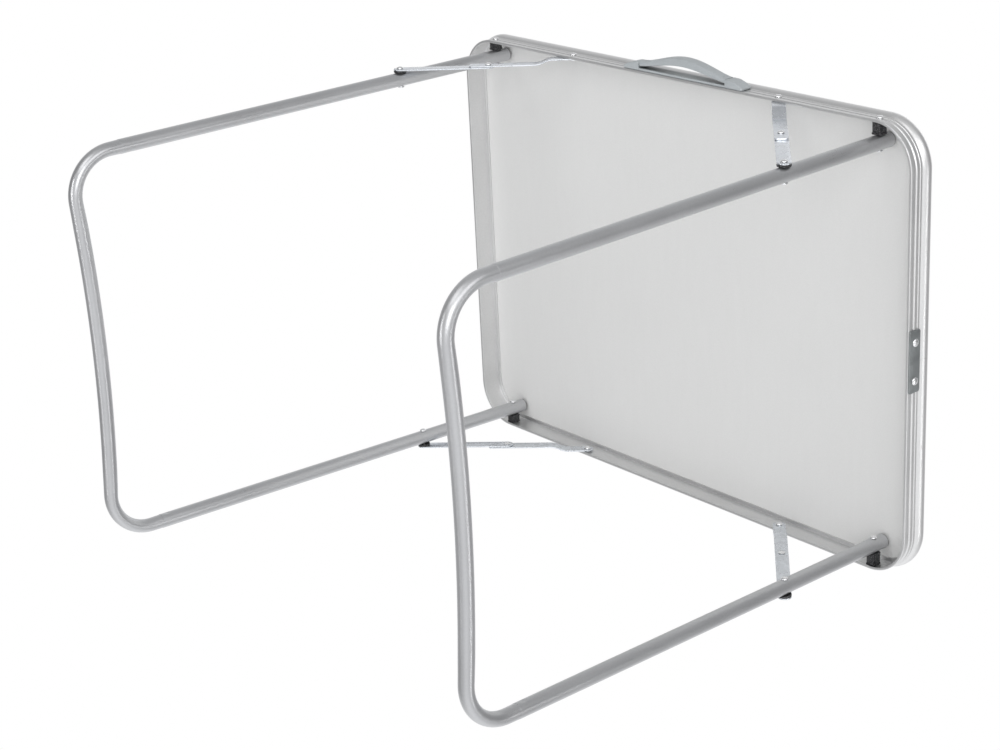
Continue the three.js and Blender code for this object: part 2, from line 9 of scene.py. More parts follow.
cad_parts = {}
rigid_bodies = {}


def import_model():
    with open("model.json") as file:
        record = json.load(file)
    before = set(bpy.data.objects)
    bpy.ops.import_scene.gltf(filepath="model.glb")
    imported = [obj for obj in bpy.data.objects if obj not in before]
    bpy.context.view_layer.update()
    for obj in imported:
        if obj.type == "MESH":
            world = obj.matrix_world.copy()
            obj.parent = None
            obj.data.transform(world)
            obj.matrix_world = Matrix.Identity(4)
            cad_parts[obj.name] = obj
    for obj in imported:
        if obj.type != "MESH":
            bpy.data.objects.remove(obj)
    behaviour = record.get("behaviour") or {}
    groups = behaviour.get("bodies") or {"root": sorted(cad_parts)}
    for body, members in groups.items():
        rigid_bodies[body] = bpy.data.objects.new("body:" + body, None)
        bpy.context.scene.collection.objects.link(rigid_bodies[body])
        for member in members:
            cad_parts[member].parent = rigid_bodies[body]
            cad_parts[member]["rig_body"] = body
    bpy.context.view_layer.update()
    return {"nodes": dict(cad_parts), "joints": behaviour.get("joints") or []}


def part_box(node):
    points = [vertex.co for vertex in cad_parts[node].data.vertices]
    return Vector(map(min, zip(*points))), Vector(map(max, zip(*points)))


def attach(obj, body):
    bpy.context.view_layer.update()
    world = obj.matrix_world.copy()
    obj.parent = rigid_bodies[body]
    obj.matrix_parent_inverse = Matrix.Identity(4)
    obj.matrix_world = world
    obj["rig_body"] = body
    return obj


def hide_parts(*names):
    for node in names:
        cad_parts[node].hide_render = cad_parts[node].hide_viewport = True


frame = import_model()

# Shapes are worked out in millimetres from the middle of the top, level with the upper rim of
# its edge: X along the top, -Y towards the handle, Z up. "Out" is a distance from the middle
# along Y, on either side.
MM = 0.001
edge_low, edge_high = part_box("edge_frame")
ORIGIN = Vector(((edge_low.x + edge_high.x) / 2, (edge_low.y + edge_high.y) / 2, edge_high.z))
HALF_LENGTH = (edge_high.x - edge_low.x) / 2 / MM
HALF_WIDTH = (edge_high.y - edge_low.y) / 2 / MM
EDGE_DEPTH = (edge_high.z - edge_low.z) / MM
FLOOR = -ORIGIN.z / MM
CORNER_RADIUS = 52
CORNER_STEPS = 24
EDGE_SEAM = 0.25

# Edge extrusion: insets are inward from its outermost face, depths below its top.
WALL_OUTER = 3
WALL_INNER = 4.5
BEAD_BOTTOM = 14.4
BEAD_HALF = 7.6
BEAD_REACH = 6.5
BEAD_START = -0.95
BEAD_STEPS = 22
UNDERCUT_LOW = 0.9
UNDERCUT_HIGH = 0.3
UNDERCUT_DEEP = 0.5
TOP_LIP_DEPTH = 0.4
TOP_LIP_INSET = 13
GROOVE_INSET = 5
GROOVE_DEPTHS = (1.3, 5.9)
LEDGE_INSET = 9
LEDGE_DEPTH = 7.1
BOTTOM_LIP = 1.2
BOTTOM_LIP_INSET = 6
PANEL_SOFT = 0.3
PANEL_FACE_SOFT = 0.2
GAP = 0.3

# A cut along the edge's outer face: height above its lower end, half its width, depth, rounding.
FLUTE = (6.7, 1.8, 1.0, 0.4)
SCRIBED_LINE = (13, 0.9, 0.7, 0.15)

# Legs: lengths along a leg are counted down from its pivot.
LEGS = {
    "right": {"side": 1, "half_width": 222, "taper": 0.0155},
    "left": {"side": -1, "half_width": 226.4, "taper": 0.0148},
}
SPLAY = 0.025
TUBE_RADIUS = 8
TUBE_BORE = 7
TUBE_SIDES = 48
TUBE_SOFT = 0.15
TUBE_OVERRUN = 15
BORE_DEPTH = 8
BEND_RADIUS = 47
BEND_FLATTENING = 0.09
BEND_STEPS = 28
RAIL_BOW = 7.5
RAIL_STEPS = 24
JOINT_ABOVE_BEND = 12
SHOULDER_STEPS = 4
SHOULDER_SOFT = 0.7
JOINT_SEAM = 0.05
SPIGOT_RADIUS = 6.1
SPIGOT_LENGTH = 22
SPIGOT_SOFT = 1

# How far the foot tube is pressed oval, as a share of the bend's flattening: at the joint and
# its growth towards the bend, its loss from the bend's middle to its ends, and its fading out
# along the rail, over so many steps
PRESSED_AT_JOINT = 0.35
PRESSED_GROWTH = 0.1
PRESSED_LOSS = 0.35
PRESSED_FADE_STEPS = 4

# The dent pressed into a side tube, and the close stations that carry it
DENT_ABOVE_END = 9
DENT_DEEP = 0.9
DENT_HALF_LONG = 3.2
DENT_HALF_WIDE = 1.9
DENT_REACH = 8
DENT_STATIONS = 20
DENT_STEP = 0.8

# Tube plugs
PLUG_RADIUS = 7.7
PLUG_STEM = 6
PLUG_DEPTH = 5
PLUG_SOFT = 0.4
PLUG_RIM_SOFT = 0.3
PLUG_SHOULDER = 0.7
PLUG_RISE = 1.3
PLUG_FULLNESS = 0.6
PLUG_STEPS = 7

# Brace links: faces run from well before a link to well past it.
LINK_WIDTH = 14.6
LINK_THICKNESS = 1.5
LINK_SOFT = 0.4
LINK_SOFT_SHARE = 0.4
LINK_TAIL = 22
LINK_TAIL_CORNER = 3
LINK_ROUND_STEPS = 10
JOGGLE_START = 27
JOGGLE_END = 41
BEND_SHIFTS = (-3.5, -2.5, -1.5, -0.5, 0.5, 1.5, 2.5, 3.5)
BEND_STATIONS = range(-4, 5)
BEFORE_LINK = -10
PAST_LINK = 200
LOWER_LINK_STATION = 60

# Rivets
PIN_RADIUS = 2
SHOULDER_RADIUS = 3.4
HEAD_RADIUS = 3.8
HEAD_HEIGHT = 1.5
HEAD_CROWN = 2.3
TAIL_HEIGHT = 0.7

# Handle: a base between two end blocks that slope down to a nose and a rounded tip, and a grip
HANDLE_PLATE = 2.8
HANDLE_BLOCK = 9.2
HANDLE_BLOCK_LENGTH = 24.6
HANDLE_BLOCK_SLANT = 0.1
HANDLE_BLOCK_EDGE = 0.5
HANDLE_BACK_SOFT = 0.2
HANDLE_SOFT = 1.3
HANDLE_NOSE = 18
HANDLE_NOSE_DROP = 6
HANDLE_NOSE_CURVE = 1.5
HANDLE_SLOPE_STEPS = 16
HANDLE_TIP = 1.8
HANDLE_TIP_DROP = 1.5
HANDLE_TIP_NARROWING = 2
HANDLE_TIP_STEPS = 5
GRIP_THICKNESS = 5
GRIP_SWELL = 3.8
GRIP_RISE = 17.5
GRIP_FOOT = 7.2
GRIP_ROUNDNESS = 1.4
GRIP_STEPS = 72
GRIP_END_FILL = 0.82
GRIP_FILL_GAIN = 3
GRIP_SOFT_INSIDE = 1.2
GRIP_SOFT_OUTSIDE = 2.2
STUD_RADIUS = 2.6
STUD_HEIGHT = 1.7
STUD_RIM = 1.1
STUD_SUNK = 1

# Spacers, washers and the splice plate
SPACER_CORNER = 0.9
SPACER_SOFT = 0.5
SPACER_BAND_EDGE = 1.8
SPACER_BAND_FLOOR = 2.2
SPACER_BAND_DEEP = 0.6
WASHER_SOFT = 0.4
SPLICE_CORNER = 2.5
SPLICE_SOFT = 0.35


# ---- Meshes ----
# Angles: edges sharper than SHARP_ANGLE, in degrees, are not smoothed, and a corner whose half is
# over ALMOST_STRAIGHT, in radians, is not rounded.
SHARP_ANGLE = 38
ALMOST_STRAIGHT = 1.53
COSINE_LIMIT = 0.9999
MERGE_METRES = 1e-7
MITRE_LIMIT = 0.5
SLAB_STEPS = 3
TURNED_SIDES = 36
POINT_RADIUS = 0.02
DOME_RIM = 0.35
DOME_SOFT = 0.15
DOME_STEPS = 7


# Points in millimetres, faces, and for each face corner its place along and around the piece, in
# millimetres, which the drawn and brushed finishes follow.
Sketch = namedtuple("Sketch", "points faces maps")


def loft(rings):
    """Joins rings of equally many points, each closed on itself, and closes both ends."""
    count = len(rings[0])
    last = len(rings) - 1
    middles = [sum(ring, Vector()) / count for ring in rings]
    along = [0.0]
    for i in range(last):
        step = max((middles[i + 1] - middles[i]).length, (rings[i + 1][0] - rings[i][0]).length)
        along.append(along[-1] + step)
    widest = max(rings, key=lambda ring: (ring[0] - ring[count // 2]).length)
    around = [0.0]
    for j in range(count):
        around.append(around[-1] + (widest[(j + 1) % count] - widest[j]).length)
    faces = []
    maps = []
    for i in range(last):
        for j in range(count):
            n = (j + 1) % count
            corners = [(i, j), (i + 1, j), (i + 1, n), (i, n)]
            faces.append([a * count + b for a, b in corners])
            u0, u1, v0, v1 = along[i], along[i + 1], around[j], around[j + 1]
            maps.append([(u0, v0), (u1, v0), (u1, v1), (u0, v1)])
    for i, order in ((0, range(count - 1, -1, -1)), (last, range(count))):
        faces.append([i * count + j for j in order])
        maps.append([tuple((rings[i][j] - middles[i]).xy) for j in order])
    return Sketch([point for ring in rings for point in ring], faces, maps)


def add_object(name, data):
    made = bpy.data.objects.new(name, data)
    bpy.context.scene.collection.objects.link(made)
    return made


def make_piece(name, sketch, look, slot, *nodes):
    """A mesh object that stands for the CAD nodes and rides where the first of them does."""
    data = bpy.data.meshes.new(name)
    data.from_pydata([ORIGIN + MM * point for point in sketch.points], [], sketch.faces)
    layer = data.uv_layers.new(name="along_around")
    flat = [value for face in sketch.maps for corner in face for value in corner]
    layer.data.foreach_set("uv", flat)
    made = bmesh.new()
    made.from_mesh(data)
    bmesh.ops.remove_doubles(made, verts=made.verts, dist=MERGE_METRES)
    bmesh.ops.recalc_face_normals(made, faces=made.faces)
    made.to_mesh(data)
    made.free()
    data.polygons.foreach_set("use_smooth", [True] * len(data.polygons))
    data.set_sharp_from_angle(angle=math.radians(SHARP_ANGLE))
    data.materials.append(look)
    piece = add_object(name, data)
    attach(piece, frame["nodes"][nodes[0]]["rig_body"])
    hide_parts(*nodes)


def rounded(corners, steps):
    """A closed 2-D outline through corners (x, y, radius), each rounded by its own radius in so
    many steps."""
    outline = []
    for i, (x, y, radius) in enumerate(corners):
        here = Vector((x, y))
        before = (Vector(corners[i - 1][:2]) - here).normalized()
        after = (Vector(corners[(i + 1) % len(corners)][:2]) - here).normalized()
        cosine = max(-COSINE_LIMIT, min(COSINE_LIMIT, before.dot(after)))
        half = math.acos(cosine) / 2
        if radius <= 0 or half > ALMOST_STRAIGHT:
            outline.append(here)
            continue
        reach = radius / math.tan(half)
        middle = here + (before + after).normalized() * (radius / math.sin(half))
        start = here + before * reach - middle
        turn = start.angle_signed(here + after * reach - middle)
        for step in range(steps + 1):
            arm = start.copy()
            arm.rotate(Matrix.Rotation(-turn * step / steps, 2))
            outline.append(middle + arm)
    return outline


def oblong(low_x, low_y, high_x, high_y, lower, upper, steps):
    """A rectangle whose two corners at low_y are rounded by lower and the others by upper."""
    return rounded([
        (low_x, low_y, lower),
        (high_x, low_y, lower),
        (high_x, high_y, upper),
        (low_x, high_y, upper),
    ], steps)


def shrink(outline, inset):
    """The outline moved inward by inset, to the left of its direction."""
    moved = []
    for i, here in enumerate(outline):
        before = (here - outline[i - 1]).normalized()
        after = (outline[(i + 1) % len(outline)] - here).normalized()
        tangent = (before + after).normalized()
        stretch = 1 / max(MITRE_LIMIT, tangent.dot(after))
        moved.append(here + Vector((-tangent.y, tangent.x)) * inset * stretch)
    return moved


def slab(outline, low, high, soft, place):
    """A slab of a counterclockwise outline from low to high, its two rims rounded by soft. Place
    turns a point of the outline and a height into a point of the object."""
    levels = []
    for step in range(SLAB_STEPS + 1):
        angle = math.pi / 2 * step / SLAB_STEPS
        levels.append((soft * (1 - math.sin(angle)), soft * (1 - math.cos(angle))))
    upper = [(inset, high - rise) for inset, rise in reversed(levels)]
    rings = [(inset, low + rise) for inset, rise in levels] + upper
    return loft([[place(p, h) for p in shrink(outline, inset)] for inset, h in rings])


def turned(profile, middle, axis):
    """A turned piece: profile is (distance along the axis, radius) from one end to the other."""
    axis = axis.normalized()
    across = axis.orthogonal().normalized()
    other = axis.cross(across)
    angles = [2 * math.pi * i / TURNED_SIDES for i in range(TURNED_SIDES)]
    spokes = [across * math.cos(a) + other * math.sin(a) for a in angles]
    return loft([
        [middle + axis * distance + spoke * max(radius, POINT_RADIUS) for spoke in spokes]
        for distance, radius in profile
    ])


def dome(start, height, radius, rim=DOME_RIM):
    """Profile of a crowned rivet head from its rim outward, beginning at start."""
    way = math.copysign(1, height)
    points = [(start, radius - DOME_SOFT), (start + DOME_SOFT * way, radius)]
    points.append((start + rim * way, radius))
    crown = abs(height) - rim
    for step in range(1, DOME_STEPS + 1):
        angle = math.pi / 2 * step / DOME_STEPS
        points.append((start + way * (rim + crown * math.sin(angle)), radius * math.cos(angle)))
    return points


def node_box(node):
    """The node's lowest and highest corners, in millimetres from the middle of the top."""
    low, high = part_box(node)
    return (low - ORIGIN) / MM, (high - ORIGIN) / MM


def node_middle(node):
    low, high = node_box(node)
    return (low + high) / 2


# ---- Materials ----
def math_node(tree, operation, *values):
    """The output of a new math node, whose inputs are numbers or other nodes' outputs."""
    made = tree.nodes.new("ShaderNodeMath")
    made.operation = operation
    for socket, value in zip(made.inputs, values):
        if isinstance(value, (int, float)):
            socket.default_value = value
        else:
            tree.links.new(value, socket)
    return made.outputs["Value"]


class Look:
    """A material being built: its node tree, its shader, and short ways to add nodes."""

    def __init__(self, name, colour, metallic, roughness):
        self.material = bpy.data.materials.new(name)
        self.material.use_nodes = True
        self.nodes = self.material.node_tree.nodes
        self.links = self.material.node_tree.links
        self.shader = self.nodes["Principled BSDF"]
        self.shader.inputs["Metallic"].default_value = metallic
        self.shader.inputs["Roughness"].default_value = roughness
        self.shader.inputs["Base Color"].default_value = (*colour, 1)
        self.colour = colour

    def node(self, kind, **values):
        made = self.nodes.new(kind)
        for key, value in values.items():
            if key in made.inputs:
                made.inputs[key].default_value = value
            else:
                setattr(made, key, value)
        return made

    def placed(self, source, stretch):
        """Texture coordinates from the named source, scaled along each axis."""
        coordinates = self.node("ShaderNodeTexCoord")
        mapping = self.node("ShaderNodeMapping")
        mapping.inputs["Scale"].default_value = stretch
        self.links.new(coordinates.outputs[source], mapping.inputs["Vector"])
        return mapping.outputs["Vector"]

    def noise(self, scale, stretch=(1, 1, 1), source="Object", detail=3.0):
        vector = self.placed(source, stretch)
        noise = self.node("ShaderNodeTexNoise", Scale=scale, Detail=detail, Roughness=0.55)
        self.links.new(vector, noise.inputs["Vector"])
        return noise.outputs["Fac"]

    def cells(self, scale, output="Color"):
        vector = self.placed("Object", (1, 1, 1))
        cells = self.node("ShaderNodeTexVoronoi", Scale=scale)
        self.links.new(vector, cells.inputs["Vector"])
        return cells.outputs[output]

    def ranged(self, source, low, high, start=0.3, end=0.7):
        """The source's values from start to end become low to high, and the rest is clamped."""
        ranged = self.node("ShaderNodeMapRange")
        limits = {"From Min": start, "From Max": end, "To Min": low, "To Max": high}
        for key, value in limits.items():
            ranged.inputs[key].default_value = value
        self.links.new(source, ranged.inputs["Value"])
        return ranged.outputs["Result"]

    def math(self, operation, *values):
        return math_node(self.material.node_tree, operation, *values)

    def tint(self, *factors):
        """The base colour times the product of the factors."""
        product = factors[0]
        for factor in factors[1:]:
            product = self.math("MULTIPLY", product, factor)
        scaled = self.node("ShaderNodeVectorMath", operation="SCALE")
        scaled.inputs[0].default_value = self.colour
        self.links.new(product, scaled.inputs["Scale"])
        self.links.new(scaled.outputs["Vector"], self.shader.inputs["Base Color"])

    def rough(self, source):
        self.links.new(source, self.shader.inputs["Roughness"])

    def edge_highlight_and_wear(self, radius, low, high):
        """Goes from low on open faces to high along edges, found with a rounded normal."""
        # The brightened edges are a painted highlight as well as wear.
        bevel = self.node("ShaderNodeBevel", samples=6, Radius=radius)
        geometry = self.node("ShaderNodeNewGeometry")
        dot = self.node("ShaderNodeVectorMath", operation="DOT_PRODUCT")
        self.links.new(bevel.outputs["Normal"], dot.inputs[0])
        self.links.new(geometry.outputs["Normal"], dot.inputs[1])
        return self.ranged(dot.outputs["Value"], high, low, 0.86, 0.995)

    def painted_crevice_shade(self, reach, low):
        """Painted shade: goes from low deep inside narrow places to 1 on open faces."""
        open_sky = self.node("ShaderNodeAmbientOcclusion", samples=8, Distance=reach)
        return self.ranged(open_sky.outputs["AO"], low, 1.0, 0.25, 0.8)

    def bump(self, *layers):
        """Each layer is (height, strength, distance in metres); they are laid on each other."""
        normal = None
        for height, strength, distance in layers:
            bump = self.node("ShaderNodeBump", Strength=strength, Distance=distance)
            self.links.new(height, bump.inputs["Height"])
            if normal:
                self.links.new(normal, bump.inputs["Normal"])
            normal = bump.outputs["Normal"]
        self.links.new(normal, self.shader.inputs["Normal"])


def drawn_metal(name, colour, metallic, roughness, lines):
    """Satin metal with fine lines along the piece's length, soft blotches and brighter edges."""
    look = Look(name, colour, metallic, roughness)
    line = look.noise(2.6, stretch=(0.02, 1.6, 1), source="UV", detail=4)
    haze = look.noise(9)
    speck = look.noise(420, detail=2)
    # Brighter edges: a painted highlight, partly also wear.
    edges_lit_and_worn = look.edge_highlight_and_wear(0.0007, 1.0, 1.12)
    look.tint(
        look.ranged(line, 1 - 0.05 * lines, 1 + 0.04 * lines),
        look.ranged(haze, 0.97, 1.03),
        look.ranged(speck, 0.975, 1.02),
        edges_lit_and_worn,
    )
    spread = look.math("ADD", look.ranged(haze, -0.05, 0.05), look.ranged(line, -0.04, 0.05))
    look.rough(look.math("ADD", spread, roughness))
    look.bump((line, 0.12 * lines, 0.0002), (speck, 0.06, 0.0001))
    return look.material


def zinc_plate(name, colour, roughness, spangle):
    """Bright plated steel: faint crystal spangle, rolling marks, dulled patches, bright edges."""
    look = Look(name, colour, 1.0, roughness)
    crystal = look.cells(210)
    haze = look.noise(60)
    mark = look.noise(3, stretch=(0.05, 2.2, 1), source="UV", detail=4)
    look.tint(
        look.ranged(crystal, 1 - spangle, 1 + spangle / 2, 0, 1),
        look.ranged(haze, 0.93, 1.04),
        look.ranged(mark, 0.95, 1.04),
        # Bright edges: a painted highlight, partly also wear.
        look.edge_highlight_and_wear(0.0005, 1.0, 1.15),
    )
    dulled = look.ranged(haze, -0.06, 0.08)
    spread = look.math("ADD", dulled, look.ranged(crystal, -0.04, 0.05, 0, 1))
    look.rough(look.math("ADD", spread, roughness))
    look.bump((haze, 0.15, 0.0003), (mark, 0.12, 0.0002))
    return look.material


def laminate_board():
    """Pale laminate: fine stipple, faint fibres and cloudy tone."""
    look = Look("pale_laminate", (0.79, 0.79, 0.782), 0.0, 0.5)
    cloud = look.noise(5)
    stipple = look.noise(900, detail=2)
    fibre = look.noise(130, stretch=(1, 0.16, 1), detail=4)
    look.tint(
        look.ranged(cloud, 0.99, 1.01),
        look.ranged(stipple, 0.98, 1.018),
        look.ranged(fibre, 0.993, 1.005),
    )
    look.rough(look.ranged(stipple, 0.44, 0.58))
    look.bump((stipple, 0.14, 0.00015), (fibre, 0.04, 0.0002))
    return look.material


def moulded_plastic(name, colour, roughness, grain, flecks):
    """Moulded plastic: pebbled grain, slight tone change, edges paler from wear and painted
    highlight, painted shade in its narrow places and, for a coarse moulding, pale flecks."""
    look = Look(name, colour, 0.0, roughness)
    look.shader.inputs["Specular IOR Level"].default_value = 0.45
    pebble = look.cells(1500, output="Distance")
    cloud = look.noise(40)
    fleck = look.cells(620, output="Distance")
    look.tint(
        look.ranged(fleck, 1 + flecks, 1, 0.1, 0.55),
        # Painted shade: darker deep in narrow places.
        look.painted_crevice_shade(0.016, 0.3),
        look.ranged(cloud, 0.94, 1.05),
        look.ranged(pebble, 1 - 0.1 * grain, 1 + 0.08 * grain, 0.1, 0.7),
        # Paler edges: a painted highlight, partly also wear.
        look.edge_highlight_and_wear(0.0006, 1.0, 1.18),
    )
    look.rough(look.ranged(cloud, roughness - 0.05, roughness + 0.07))
    look.bump((pebble, 0.35 * grain, 0.00025), (cloud, 0.1, 0.0003))
    return look.material


EDGE_LOOK = drawn_metal(
    "satin_edge_aluminium", (0.775, 0.775, 0.775), metallic=0.9, roughness=0.36, lines=0.5
)
TUBE_LOOK = drawn_metal(
    "grey_tube_metal", (0.575, 0.58, 0.592), metallic=0.86, roughness=0.34, lines=0.4
)
ZINC_LOOK = zinc_plate("bright_zinc", (0.78, 0.81, 0.85), roughness=0.27, spangle=0.12)
RIVET_LOOK = zinc_plate("bright_rivet", (0.95, 0.955, 0.965), roughness=0.24, spangle=0.05)
SPLICE_LOOK = zinc_plate(
    "dull_splice_steel", (0.39, 0.41, 0.415), roughness=0.42, spangle=0.08
)
BOARD_LOOK = laminate_board()
BLACK_LOOK = moulded_plastic(
    "black_moulding", (0.014, 0.014, 0.015), roughness=0.42, grain=1.4, flecks=8
)
GREY_LOOK = moulded_plastic(
    "blue_grey_moulding", (0.455, 0.485, 0.5), roughness=0.45, grain=0.6, flecks=0
)
PLUG_LOOK = moulded_plastic(
    "tube_plug_grey", (0.34, 0.345, 0.355), roughness=0.5, grain=0.8, flecks=0
)


# ---- Top ----
def edge_path(inset, joint=0.0):
    """Points and outward directions once round the top, from the middle of the right side."""
    r = CORNER_RADIUS
    x, y = HALF_LENGTH - r, HALF_WIDTH - r
    stations = [(Vector((HALF_LENGTH, joint / 2)), 0.0)] if joint else []
    for corner, (cx, cy) in enumerate([(x, y), (-x, y), (-x, -y), (x, -y)]):
        for i in range(CORNER_STEPS + 1):
            angle = math.pi / 2 * (corner + i / CORNER_STEPS)
            arm = Vector((math.cos(angle), math.sin(angle)))
            stations.append((Vector((cx, cy)) + arm * r, angle))
    if joint:
        stations.append((Vector((HALF_LENGTH, -joint / 2)), 2 * math.pi))
    return [point - Vector((math.cos(a), math.sin(a))) * inset for point, a in stations]


def edge_profile():
    """The section of the edge extrusion as (depth, inset), with its flute and scribed line. Each
    corner is given with its rounding."""
    def cut(above_end, half, deep, radius):
        middle = EDGE_DEPTH - above_end
        return [
            (middle + half, WALL_OUTER, radius),
            (middle + half / 2, WALL_OUTER + deep, radius),
            (middle - half / 2, WALL_OUTER + deep, radius),
            (middle - half, WALL_OUTER, radius),
        ]

    corners = [(EDGE_DEPTH, BOTTOM_LIP_INSET, 0.35), (EDGE_DEPTH, WALL_OUTER, 0.6)]
    corners += cut(*FLUTE)
    corners += cut(*SCRIBED_LINE)
    corners.append((BEAD_BOTTOM + UNDERCUT_LOW, WALL_OUTER, 0.3))
    corners.append((BEAD_BOTTOM + UNDERCUT_HIGH, WALL_OUTER + UNDERCUT_DEEP, 0.15))
    for i in range(BEAD_STEPS + 1):
        angle = BEAD_START + (math.pi / 2 - BEAD_START) * i / BEAD_STEPS
        depth = BEAD_HALF * (1 - math.sin(angle))
        corners.append((depth, BEAD_REACH * (1 - math.cos(angle)), 0))
    groove_top, groove_low = GROOVE_DEPTHS
    inner_lip = EDGE_DEPTH - BOTTOM_LIP
    corners += [
        (TOP_LIP_DEPTH, TOP_LIP_INSET, 0.3),
        (groove_top, TOP_LIP_INSET, 0.2),
        (groove_top, GROOVE_INSET, 0),
        (groove_low, GROOVE_INSET, 0),
        (groove_low, LEDGE_INSET, 0.2),
        (LEDGE_DEPTH, LEDGE_INSET, 0.4),
        (LEDGE_DEPTH, WALL_INNER, 0.5),
        (inner_lip, WALL_INNER, 0.3),
        (inner_lip, BOTTOM_LIP_INSET, 0.35),
    ]
    return rounded(corners, steps=3)


def make_top():
    profile = edge_profile()
    columns = [edge_path(inset, EDGE_SEAM) for _, inset in profile]
    rings = [
        [Vector((*column[i], -depth)) for column, (depth, _) in zip(columns, profile)]
        for i in range(len(columns[0]))
    ]
    make_piece("edge_extrusion", loft(rings), EDGE_LOOK, "edge_aluminium", "edge_frame")

    low, high = node_box("tabletop_panel")
    groove_top = GROOVE_DEPTHS[0] + GAP
    rest = GROOVE_INSET + GAP
    face = TOP_LIP_INSET + GAP
    levels = [
        (rest + PANEL_SOFT, low.z),
        (rest, low.z + PANEL_SOFT),
        (rest, -groove_top),
        (face, -groove_top),
        (face, high.z - PANEL_FACE_SOFT),
        (face + PANEL_FACE_SOFT, high.z),
    ]
    rings = [[Vector((*point, z)) for point in edge_path(inset)] for inset, z in levels]
    make_piece("panel_board", loft(rings), BOARD_LOOK, "panel_laminate", "tabletop_panel")


def make_splice():
    low, high = node_box("splice_plate")
    soft = SPLICE_CORNER
    outline = oblong(low.y, low.z, high.y, high.z, soft, soft, steps=6)
    sketch = slab(outline, low.x, high.x, SPLICE_SOFT, lambda p, h: Vector((h, p.x, p.y)))
    make_piece("splice_cover", sketch, SPLICE_LOOK, "splice_steel", "splice_plate")
    for end in ("front", "back"):
        node = f"splice_rivet_{end}"
        low, high = node_box(node)
        middle = node_middle(node)
        crown = dome(low.x - middle.x, HEAD_CROWN, (high.z - low.z) / 2)
        profile = [(-(high.x - low.x) / 2, 0)] + crown
        sketch = turned(profile, middle, Vector((1, 0, 0)))
        make_piece(f"splice_dome_{end}", sketch, RIVET_LOOK, "zinc_steel", node)


# ---- Handle ----
def grip_arch(x, half):
    """The grip's rise, from 0 at its feet to 1 in its middle."""
    return math.cos(min(1, abs(x) / half) * math.pi / 2) ** GRIP_ROUNDNESS


def grip_out(x, half):
    """How far the grip's middle line is from the edge's wall."""
    return GRIP_FOOT + (GRIP_RISE - GRIP_FOOT) * grip_arch(x, half)


def grip_half(x, half):
    """Half the grip's thickness, which swells towards its middle."""
    return (GRIP_THICKNESS + GRIP_SWELL * grip_arch(x, half)) / 2


def make_handle():
    low, high = node_box("handle_base")
    middle_x = (low.x + high.x) / 2
    middle_z = (low.z + high.z) / 2
    half = (high.x - low.x) / 2
    tall = (high.z - low.z) / 2
    wall = HALF_WIDTH - WALL_OUTER
    inner = half - HANDLE_BLOCK_LENGTH
    nose = half - HANDLE_NOSE

    def height_at(x):
        """How far the base stands out: a plate between two end blocks that slope to a nose."""
        if x < inner:
            return HANDLE_PLATE
        slope = max(0, x - nose) / HANDLE_NOSE
        return HANDLE_BLOCK - HANDLE_NOSE_DROP * slope ** HANDLE_NOSE_CURVE

    def section(x, out, wide):
        soft = min(HANDLE_SOFT, out / 3)
        outline = oblong(-wide, GAP, wide, out, HANDLE_BACK_SOFT, soft, steps=5)
        return [Vector((middle_x + x, -wall - p.y, middle_z + p.x)) for p in outline]

    plate_end = inner - HANDLE_BLOCK_SLANT
    stations = [(x, HANDLE_PLATE, tall) for x in (0, inner / 2, plate_end)]
    stations.append((inner, HANDLE_BLOCK - HANDLE_BLOCK_EDGE, tall))
    stations.append((inner + HANDLE_BLOCK_EDGE, HANDLE_BLOCK, tall))
    for step in range(1, HANDLE_SLOPE_STEPS + 1):
        x = nose + (HANDLE_NOSE - HANDLE_TIP) * step / HANDLE_SLOPE_STEPS
        stations.append((x, height_at(x), tall))
    for step in range(1, HANDLE_TIP_STEPS + 1):
        angle = math.pi / 2 * step / HANDLE_TIP_STEPS
        x = half - HANDLE_TIP * (1 - math.sin(angle))
        share = 1 - math.cos(angle)
        out = height_at(x) - HANDLE_TIP_DROP * share
        stations.append((x, out, tall - HANDLE_TIP_NARROWING * share))
    mirrored = [(-x, out, wide) for x, out, wide in reversed(stations[1:])]
    sketch = loft([section(*station) for station in mirrored + stations])
    make_piece("handle_mount", sketch, GREY_LOOK, "grey_plastic", "handle_base")

    low, high = node_box("handle_grip")
    half = (high.x - low.x) / 2
    rings = []
    for step in range(GRIP_STEPS + 1):
        swing = math.pi * step / GRIP_STEPS
        x = -half * math.cos(swing)
        fill = min(1, GRIP_END_FILL + GRIP_FILL_GAIN * math.sin(swing))
        wide = (high.z - low.z) / 2 * fill
        deep = grip_half(x, half) * fill
        inside, outside = GRIP_SOFT_INSIDE, GRIP_SOFT_OUTSIDE
        outline = oblong(-wide, -deep, wide, deep, inside, outside, steps=5)
        base = -wall - grip_out(x, half)
        rings.append([Vector((middle_x + x, base - p.y, middle_z + p.x)) for p in outline])
    make_piece("handle_strap", loft(rings), GREY_LOOK, "grey_plastic", "handle_grip")

    for end in ("left", "right"):
        node = f"handle_pin_{end}"
        middle = node_middle(node)
        x = middle.x - middle_x
        middle.y = -wall - grip_out(x, half) - grip_half(x, half)
        profile = [(-STUD_SUNK, 0)] + dome(-STUD_SUNK, STUD_HEIGHT, STUD_RADIUS, STUD_RIM)
        sketch = turned(profile, middle, Vector((0, -1, 0)))
        make_piece(f"handle_stud_{end}", sketch, GREY_LOOK, "zinc_steel", node)


